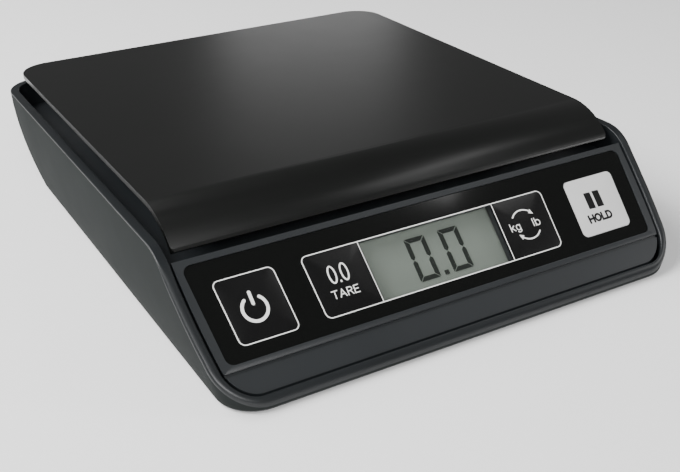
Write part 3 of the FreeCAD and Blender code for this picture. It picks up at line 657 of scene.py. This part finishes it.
def lettering(text, left, right, s_top, s_foot, weight, space, height):
    """Plain sans text drawn with strokes; its visible box is left to right and s_top to s_foot."""
    half = weight / 2
    foot = s_foot - half
    high = foot - (s_top + half)
    span = right - left - weight
    letters_wide = sum(LETTERS[character][0] for character in text)
    scale = (span - space * (len(text) - 1)) / letters_wide
    x = left + half
    solids = []
    for character in text:
        wide, *strokes = LETTERS[character]
        for line in strokes:
            path = dense([(x + u * scale, foot - v * high) for u, v in line], LETTER_STEP)
            if math.dist(line[0], line[-1]) < 1e-6:
                solids.append(stroke(path[:-1], weight, height, closed=True))
            else:
                solids.append(stroke(square_ends(path, half), weight, height, round_ends=False))
        x += wide * scale + space
    return gather(solids)


def square_ends(path, reach):
    """The path made longer at both ends."""
    first = Vector(path[0]) + (Vector(path[0]) - Vector(path[1])).normalized() * reach
    last = Vector(path[-1]) + (Vector(path[-1]) - Vector(path[-2])).normalized() * reach
    return [tuple(first)] + path + [tuple(last)]


def polygon_ink(corners, height):
    """Filled convex print from (x, s) corners."""
    return ink_points((corners,), height), plate_faces(len(corners))


def on_key(key_name):
    """Height function of one key's face, for the print on it."""
    return functools.partial(pillow_at, key_name)


def on_panel(x, s):
    """Height function of the flat panel."""
    return 0.0


def arrow(x, s, radius, start, end, height):
    """Curved arrow; the head points onwards past `end`."""
    solids = [stroke(arc_path(x, s, radius, start, end), ARROW_LINE, height, round_ends=False)]
    way = math.copysign(1, end - start)
    reach = math.degrees(ARROW_HEAD_LONG / radius) * way
    head = []
    for r, turn in ((radius + ARROW_HEAD_HALF, end), (radius - ARROW_HEAD_HALF, end),
                    (radius, end + reach)):
        angle = math.radians(turn)
        head.append((x + r * math.cos(angle), s - r * math.sin(angle)))
    solids.append(polygon_ink(head, height))
    return gather(solids)


def key_print(key_name, solids, slot):
    """Joins what is printed on a key into one piece that rides on it."""
    make_object(key_name + "_print", *gather(solids), key_name + "_pad", slot, 60)


def key_prints():
    """Light print on the dark keys and dark print on the light key."""
    power = on_key("power_key")
    key_print("power_key", [
        stroke(arc_path(*POWER_MIDDLE, POWER_RADIUS, *POWER_TURN, 40), POWER_LINE, power),
        stroke(straight_path(*POWER_BAR), POWER_BAR_LINE, power),
    ], "key_grey")
    tare = on_key("tare_key")
    key_print("tare_key", [lettering(*word, tare) for word in TARE_WORDS], "key_grey")
    unit = on_key("unit_key")
    solids = [arrow(*ARROW_MIDDLE, ARROW_RADIUS, *turn, unit) for turn in ARROW_TURNS]
    solids += [lettering(*word, unit) for word in UNIT_WORDS]
    key_print("unit_key", solids, "key_grey")
    hold = on_key("hold_key")
    solids = []
    for x in PAUSE_BARS:
        path = straight_path(x + PAUSE_LEAN[0], PAUSE_TOP, x + PAUSE_LEAN[1], PAUSE_FOOT, 8)
        solids.append(stroke(path, PAUSE_WIDE, hold, round_ends=False))
    solids += [lettering(*word, hold) for word in HOLD_WORDS]
    key_print("hold_key", solids, "overlay_gloss")


def outline(left, right):
    """White line round a field of the panel, astride its edge."""
    half = OUTLINE / 2
    outer = key_ring(left - half, right + half, KEY_TOP - half, KEY_END + half, KEY_CORNER + half, 0)
    inner = key_ring(left + half, right - half, KEY_TOP + half, KEY_END - half, KEY_CORNER - half, 0)
    verts = []
    for lift in (OUTLINE_RISE, -OUTLINE_SINK):
        for loop in (outer, inner):
            verts += [p + SLOPE_NORMAL * lift for p in loop]
    return verts, band_faces(len(outer))


def frame_prints():
    """White outlines round the power key and round tare key, display and unit key together."""
    frame_left, display_left = KEYS["tare_key"]
    display_right, frame_right = KEYS["unit_key"]
    solids = [outline(*KEYS["power_key"]), outline(frame_left, frame_right)]
    top = KEY_TOP + OUTLINE / 2
    end = KEY_END - OUTLINE / 2
    for x in (display_left + DIVIDER_SHIFT, display_right - DIVIDER_SHIFT):
        path = straight_path(lean(x, top), top, lean(x, end), end)
        verts, faces = stroke(path, DIVIDER, on_panel, round_ends=False)
        solids.append(([v + SLOPE_NORMAL * DIVIDER_LIFT for v in verts], faces))
    make_object("panel_outlines", *gather(solids), "housing", "key_grey", 60)


# ---------------------------------------------------------------- display
def display_digits():
    """Two mitred seven-segment noughts and the point between them, in the layer between the glasses."""
    bar = DIGIT_BAR
    gap = DIGIT_GAP
    half = DIGIT_HIGH / 2
    level_bar = [(gap, 0), (DIGIT_WIDE - gap, 0), (DIGIT_WIDE - bar - gap, bar), (bar + gap, bar)]
    upright = [(0, gap), (bar, bar + gap), (bar, half - 0.6 * bar), (bar / 2, half - gap / 2),
               (0, half - 0.5 * bar)]
    solids = []
    for left in DIGIT_LEFTS:
        for flip in (False, True):
            for bar_corners, mirrors in ((level_bar, (False,)), (upright, (False, True))):
                for mirror in mirrors:
                    corners = []
                    for u, v in bar_corners:
                        u = DIGIT_WIDE - u if mirror else u
                        v = DIGIT_HIGH - v if flip else v
                        corners.append((left + u, DIGIT_TOP + v))
                    solids.append(panel_plate(corners, *DIGIT_LAYER))
    point = (DIGIT_LEFTS[0] + DIGIT_WIDE + DIGIT_LEFTS[1]) / 2
    foot = DIGIT_TOP + DIGIT_HIGH
    size = DIGIT_POINT
    corners = [(point - size / 2, foot - size), (point + size / 2, foot - size),
               (point + size / 2, foot), (point - size / 2, foot)]
    solids.append(panel_plate(corners, *DIGIT_LAYER))
    digits = make_object("display_digits", *gather(solids), "housing", "lcd_dark")
    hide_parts("lcd_digits")
    return digits


def panel_plate(corners, h0, h1):
    """Flat plate of (x, s) corners between two heights over the panel plane."""
    verts = [slope_point(x, s, h) for h in (h1, h0) for x, s in corners]
    return verts, plate_faces(len(corners))


# ---------------------------------------------------------------- battery springs
def coil_springs():
    """Conical wire springs between the contact plates and the cells' tails."""
    wire = SPRING_WIRE
    solids = []
    for index, place in enumerate(("left", "middle", "right")):
        x = BAY_MIDDLE + (index - 1) * AAA_PITCH
        low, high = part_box("battery_" + place)
        ahead = index % 2 == 0
        y0 = BAY[2] + SPRING_GAP + wire if ahead else BAY[3] - SPRING_GAP - wire
        y1 = low.y / MM - wire if ahead else high.y / MM + wire
        solids.append(helix_solid(x, y0, y1, CONTACT_Z, *SPRING_RADII, wire))
    springs = make_object("coil_springs", *gather(solids), "housing", "nickel", 60)
    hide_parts("bay_springs")
    return springs


def helix_solid(x, y0, y1, z, r0, r1, wire, turns=4.0, steps=96, around=8):
    """Round wire wound about a line along y, from radius r0 to r1."""
    verts = []
    for i in range(steps + 1):
        f = i / steps
        turn = 2 * math.pi * turns * f
        radius = r0 + (r1 - r0) * f
        y = y0 + (y1 - y0) * f
        out = Vector((math.cos(turn), 0, math.sin(turn)))
        middle = Vector((x, y, z)) + out * radius
        for k in range(around):
            roll = 2 * math.pi * k / around
            verts.append(middle + out * wire * math.cos(roll) + Vector((0, wire * math.sin(roll), 0)))
    faces = tube_faces(steps + 1, around)
    faces.append(tuple(range(around)))
    faces.append(tuple(reversed(range(steps * around, (steps + 1) * around))))
    return verts, faces


# ---------------------------------------------------------------- materials
def new_material(name, colour, rough, metallic=0.0, specular=0.5):
    """New material and its shader."""
    material = bpy.data.materials.new(name)
    material.use_nodes = True
    shader = material.node_tree.nodes["Principled BSDF"]
    shader.inputs["Base Color"].default_value = (*colour, 1)
    shader.inputs["Roughness"].default_value = rough
    shader.inputs["Metallic"].default_value = metallic
    shader.inputs["Specular IOR Level"].default_value = specular
    return material, shader


def noise(material, scale, detail=4.0, stretch=(1, 1, 1)):
    """Noise in object space, in repeats per metre."""
    tree = material.node_tree
    place = tree.nodes.new("ShaderNodeTexCoord")
    mapping = tree.nodes.new("ShaderNodeMapping")
    mapping.inputs["Scale"].default_value = stretch
    texture = tree.nodes.new("ShaderNodeTexNoise")
    texture.inputs["Scale"].default_value = scale
    texture.inputs["Detail"].default_value = detail
    texture.inputs["Roughness"].default_value = 0.55
    tree.links.new(place.outputs["Object"], mapping.inputs["Vector"])
    tree.links.new(mapping.outputs["Vector"], texture.inputs["Vector"])
    return texture


def add_bump(material, shader, texture, strength, distance):
    """Raises the surface by a texture; distance in metres."""
    tree = material.node_tree
    bump = tree.nodes.new("ShaderNodeBump")
    bump.inputs["Strength"].default_value = strength
    bump.inputs["Distance"].default_value = distance
    tree.links.new(texture.outputs["Fac"], bump.inputs["Height"])
    tree.links.new(bump.outputs["Normal"], shader.inputs["Normal"])


def vary(material, shader, texture, socket, low, high):
    """Spreads a socket between two values (or colours) by a texture."""
    tree = material.node_tree
    ramp = tree.nodes.new("ShaderNodeValToRGB")
    for stop, position, value in zip(ramp.color_ramp.elements, (0.3, 0.7), (low, high)):
        stop.position = position
        stop.color = (*value, 1) if isinstance(value, tuple) else (value, value, value, 1)
    tree.links.new(texture.outputs["Fac"], ramp.inputs["Fac"])
    tree.links.new(ramp.outputs["Color"], shader.inputs[socket])


def moulded(name, colour, rough, grain=1600.0, depth=0.00003, strength=0.25, spread=0.05, specular=0.5):
    """Moulded plastic: fine spark-eroded grain, and slow changes of shade and polish."""
    material, shader = new_material(name, colour, rough, specular=specular)
    add_bump(material, shader, noise(material, grain, 3.0), strength, depth)
    slow = noise(material, 18.0, 3.0)
    darker = tuple(c * (1 - spread) for c in colour)
    lighter = tuple(c * (1 + spread) for c in colour)
    vary(material, shader, slow, "Base Color", darker, lighter)
    vary(material, shader, noise(material, 45.0, 4.0), "Roughness", rough * 0.96, min(rough * 1.04, 1))
    return material


def metal(name, colour, rough, grain=900.0, stretch=(1, 1, 1)):
    """Plated or machined metal with fine marks."""
    material, shader = new_material(name, colour, rough, metallic=1.0)
    add_bump(material, shader, noise(material, grain, 4.0, stretch=stretch), 0.15, 0.00002)
    vary(material, shader, noise(material, 120.0, 4.0), "Roughness", rough * 0.75, min(rough * 1.3, 1))
    return material


def clear(name, colour, alpha):
    """Clear pane that lets the light through to what is behind it."""
    rough = 0.05
    material, shader = new_material(name, colour, rough)
    shader.inputs["Alpha"].default_value = alpha
    vary(material, shader, noise(material, 60.0, 3.0), "Roughness", rough * 0.8, rough * 1.3)
    return material


def battery_wrap():
    """Printed sleeve: a dark body with a copper-coloured band at the +y end."""
    body = (0.03, 0.035, 0.04)
    band = (0.42, 0.17, 0.06)
    material, shader = new_material("battery_wrap", body, 0.3)
    tree = material.node_tree
    vary(material, shader, noise(material, 200.0, 3.0), "Roughness", 0.22, 0.4)
    place = tree.nodes.new("ShaderNodeTexCoord")
    split = tree.nodes.new("ShaderNodeSeparateXYZ")
    ramp = tree.nodes.new("ShaderNodeValToRGB")
    ramp.color_ramp.interpolation = "CONSTANT"
    ramp.color_ramp.elements[0].color = (*body, 1)
    ramp.color_ramp.elements[1].position = 0.72
    ramp.color_ramp.elements[1].color = (*band, 1)
    tree.links.new(place.outputs["Generated"], split.inputs["Vector"])
    tree.links.new(split.outputs["Y"], ramp.inputs["Fac"])
    tree.links.new(ramp.outputs["Color"], shader.inputs["Base Color"])
    return material


PRINT_GRAIN = {"grain": 2600.0, "depth": 0.00001, "strength": 0.1}
# Name: colour, roughness, and what differs from moulded()'s usual values.
PLASTICS = {
    # One plastic in three tones: this cover's colour is raised to brighten its strip, painted light; the
    # two tray copies below are painted shade and a painted reflection.
    "housing_plastic": ((0.0125, 0.0145, 0.0162), 0.38, {"specular": 0.55}),
    # Darker copy of the housing plastic for the tray's bead, rim and inside: painted shade.
    "tray_painted_shade": ((0.0085, 0.010, 0.0112), 0.36, {"specular": 0.4}),
    # Lighter copy with its gloss taken out, for the tray's outer wall: a painted reflection of the floor.
    "wall_painted_reflection": ((0.020, 0.0225, 0.022), 0.55,
                     {"grain": 1200.0, "depth": 0.00004, "strength": 0.3, "specular": 0.01}),
    "platform_plastic": ((0.0030, 0.0033, 0.0030), 0.3,
                         {"grain": 450.0, "depth": 0.00001, "strength": 0.03}),
    "overlay_gloss": ((0.0025, 0.0028, 0.0025), 0.09,
                      {"grain": 300.0, "depth": 0.00001, "strength": 0.05}),
    "key_black": ((0.0045, 0.0045, 0.0046), 0.24, {**PRINT_GRAIN, "specular": 0.35}),
    "key_grey": ((0.60, 0.60, 0.595), 0.34, {**PRINT_GRAIN, "spread": 0.03}),
    "print_white": ((0.85, 0.85, 0.83), 0.5, {**PRINT_GRAIN, "spread": 0.03, "specular": 0.15}),
    "print_dark": ((0.007, 0.007, 0.007), 0.5, {**PRINT_GRAIN, "specular": 0.15}),
    "foam": ((0.02, 0.02, 0.02), 0.9, {"grain": 700.0, "depth": 0.0002, "strength": 0.6}),
    "lcd_dark": ((0.008, 0.013, 0.009), 0.5, {"grain": 2600.0, "depth": 0.00001, "strength": 0.05}),
    "lcd_green_grey": ((0.26, 0.30, 0.26), 0.75,
                       {"grain": 3000.0, "depth": 0.00001, "strength": 0.2, "spread": 0.03}),
    "white_plastic": ((0.68, 0.67, 0.63), 0.45, {}),
    "inner_plastic": ((0.06, 0.06, 0.062), 0.5, {}),
    "zebra_rubber": ((0.55, 0.2, 0.25), 0.7, {}),
    "board_green": ((0.012, 0.11, 0.045), 0.35, {"grain": 500.0, "strength": 0.3}),
    "chip_black": ((0.018, 0.018, 0.019), 0.55, {}),
    "lead_jacket": ((0.55, 0.55, 0.53), 0.5, {}),
    "lead_red": ((0.4, 0.02, 0.02), 0.45, {}),
    "gauge_silicone": ((0.72, 0.7, 0.66), 0.5, {"grain": 300.0, "depth": 0.0002, "strength": 0.4}),
    "door_plastic": ((0.0085, 0.010, 0.0112), 0.45, {}),
    "rubber_black": ((0.018, 0.018, 0.018), 0.75, {"grain": 1200.0, "depth": 0.00005, "strength": 0.5}),
}
MATERIALS = {name: moulded(name, colour, rough, **more)
             for name, (colour, rough, more) in PLASTICS.items()}
MATERIALS["clear_window"] = clear("clear_window", (0.02, 0.02, 0.02), 0.10)
MATERIALS["lcd_glass"] = clear("lcd_glass", (0.05, 0.06, 0.05), 0.05)
MATERIALS["can_metal"] = metal("can_metal", (0.7, 0.7, 0.72), 0.3)
MATERIALS["cell_alloy"] = metal("cell_alloy", (0.72, 0.73, 0.74), 0.38, 1500.0, (6, 1, 1))
MATERIALS["zinc_steel"] = metal("zinc_steel", (0.6, 0.61, 0.6), 0.32)
MATERIALS["nickel"] = metal("nickel", (0.66, 0.62, 0.55), 0.25)
MATERIALS["battery_wrap"] = battery_wrap()


def paint(obj, material):
    """Gives an object one material."""
    obj.data.materials.clear()
    obj.data.materials.append(material)


def soften(node, width):
    """Rounds a CAD node's sharp edges: joins its faces into whole planes, then bevels."""
    obj = frame["nodes"][node]
    join = obj.modifiers.new("join", "WELD")
    join.merge_threshold = 1e-6
    planes = obj.modifiers.new("planes", "DECIMATE")
    planes.decimate_type = "DISSOLVE"
    planes.angle_limit = math.radians(1.0)
    edge = obj.modifiers.new("edges", "BEVEL")
    edge.width = width * MM
    edge.segments = 3
    edge.limit_method = "ANGLE"
    edge.angle_limit = math.radians(28)
    edge.harden_normals = True


# ---------------------------------------------------------------- camera, floor and light
def look_camera(place, azimuth, elevation, roll, lens):
    """Camera at a place in metres; azimuth clockwise from +y, elevation downwards, all in degrees."""
    az = math.radians(azimuth)
    el = math.radians(elevation)
    forward = Vector((math.sin(az) * math.cos(el), math.cos(az) * math.cos(el), -math.sin(el)))
    level = Vector((math.cos(az), -math.sin(az), 0))
    up = level.cross(forward)
    c = math.cos(math.radians(roll))
    s = math.sin(math.radians(roll))
    right = c * level + s * up
    top = -s * level + c * up
    data = bpy.data.cameras.new("photo_camera")
    data.lens = lens
    data.sensor_width = 36
    data.clip_start = 0.01
    camera = bpy.data.objects.new("photo_camera", data)
    matrix = Matrix((right, top, -forward)).transposed().to_4x4()
    matrix.translation = place
    camera.matrix_world = matrix
    bpy.context.collection.objects.link(camera)
    bpy.context.scene.camera = camera


def floor():
    """Plain light ground under the object."""
    corners = [(x * FLOOR_HALF, y * FLOOR_HALF, 0) for x, y in ((-1, -1), (1, -1), (1, 1), (-1, 1))]
    ground = make_object("floor", corners, [(0, 1, 2, 3)], None, None)
    material, shader = new_material("floor_paint", FLOOR_GREY, 0.7, specular=0.2)
    add_bump(material, shader, noise(material, 300.0), 0.05, 0.0001)
    paint(ground, material)


def softbox(name, place, target, size, power):
    """Rectangular area light facing a target."""
    data = bpy.data.lights.new(name, "AREA")
    data.shape = "RECTANGLE"
    data.size, data.size_y = size
    data.energy = power
    lamp = bpy.data.objects.new(name, data)
    lamp.location = place
    lamp.rotation_euler = (Vector(target) - Vector(place)).to_track_quat("-Z", "Y").to_euler()
    bpy.context.collection.objects.link(lamp)


def sky():
    """Even, weak light from all round."""
    world = bpy.data.worlds.new("studio")
    world.use_nodes = True
    background = world.node_tree.nodes["Background"]
    background.inputs["Color"].default_value = (1, 1, 1, 1)
    background.inputs["Strength"].default_value = SKY_STRENGTH
    bpy.context.scene.world = world


# ---------------------------------------------------------------- build
for subpart in frame["record"]["subparts"]:
    paint(frame["nodes"][subpart["node"]], MATERIALS[subpart["material_slot"]])

tray_shell()
paint(frame["nodes"]["lcd_rear_glass"], MATERIALS["lcd_green_grey"])
for node_name, edge_width in SOFT_EDGES.items():
    soften(node_name, edge_width)
for key_name, (key_left, key_right) in KEYS.items():
    key_slot = "key_grey" if key_name == "hold_key" else "key_black"
    paint(key_pad(key_name, key_left, key_right, key_slot), MATERIALS[key_slot])
key_prints()
frame_prints()
paint(display_digits(), MATERIALS["lcd_dark"])
for print_name in ("power_key_print", "tare_key_print", "unit_key_print", "panel_outlines"):
    paint(bpy.data.objects[print_name], MATERIALS["print_white"])
paint(bpy.data.objects["hold_key_print"], MATERIALS["print_dark"])
paint(coil_springs(), MATERIALS["nickel"])

look_camera(place=(-0.19592, -0.36658, 0.20336), azimuth=29.463, elevation=27.345, roll=-0.988,
            lens=55.393)
floor()
sky()
for light in SOFTBOXES:
    softbox(*light)
